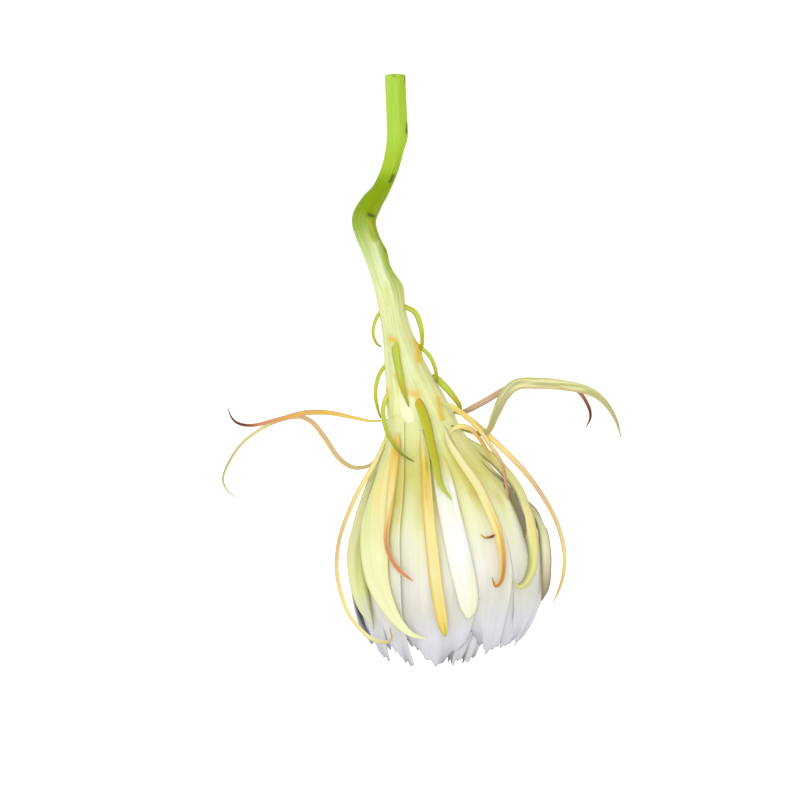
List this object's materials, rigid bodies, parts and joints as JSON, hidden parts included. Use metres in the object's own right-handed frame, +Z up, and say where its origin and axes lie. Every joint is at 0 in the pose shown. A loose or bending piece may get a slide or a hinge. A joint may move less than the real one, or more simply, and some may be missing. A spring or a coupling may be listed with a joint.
{
  "type": "orchid cactus flower",
  "caption": "Cut night-blooming cactus flower lying on a surface: curved floral tube, narrow curling outer tepals and a half-closed bell of broad white petals round stamens and style.",
  "frame": {"origin": "under the middle of the whole flower's box, at the surface that it lies on", "axes": "+Y along the flower towards the cut end of its tube, +Z up, away from the surface"},
  "size_m": [0.1669, 0.24, 0.0754],
  "materials": {
    "tube": "smooth waxy green stem, paler towards the bloom",
    "outer_tepal": "satin yellow, tan and salmon towards the tips",
    "middle_tepal": "satin pale greenish cream",
    "petal": "thin translucent white with fine lengthwise veins",
    "stamen": "cream filaments and pale yellow anthers",
    "style": "cream"
  },
  "bodies": {
    "root": {"floral_tube": "tube", "outer_tepals": "outer_tepal", "middle_tepals": "middle_tepal", "inner_petals": "petal", "stamens": "stamen", "style": "style"}
  },
  "joints": []
}
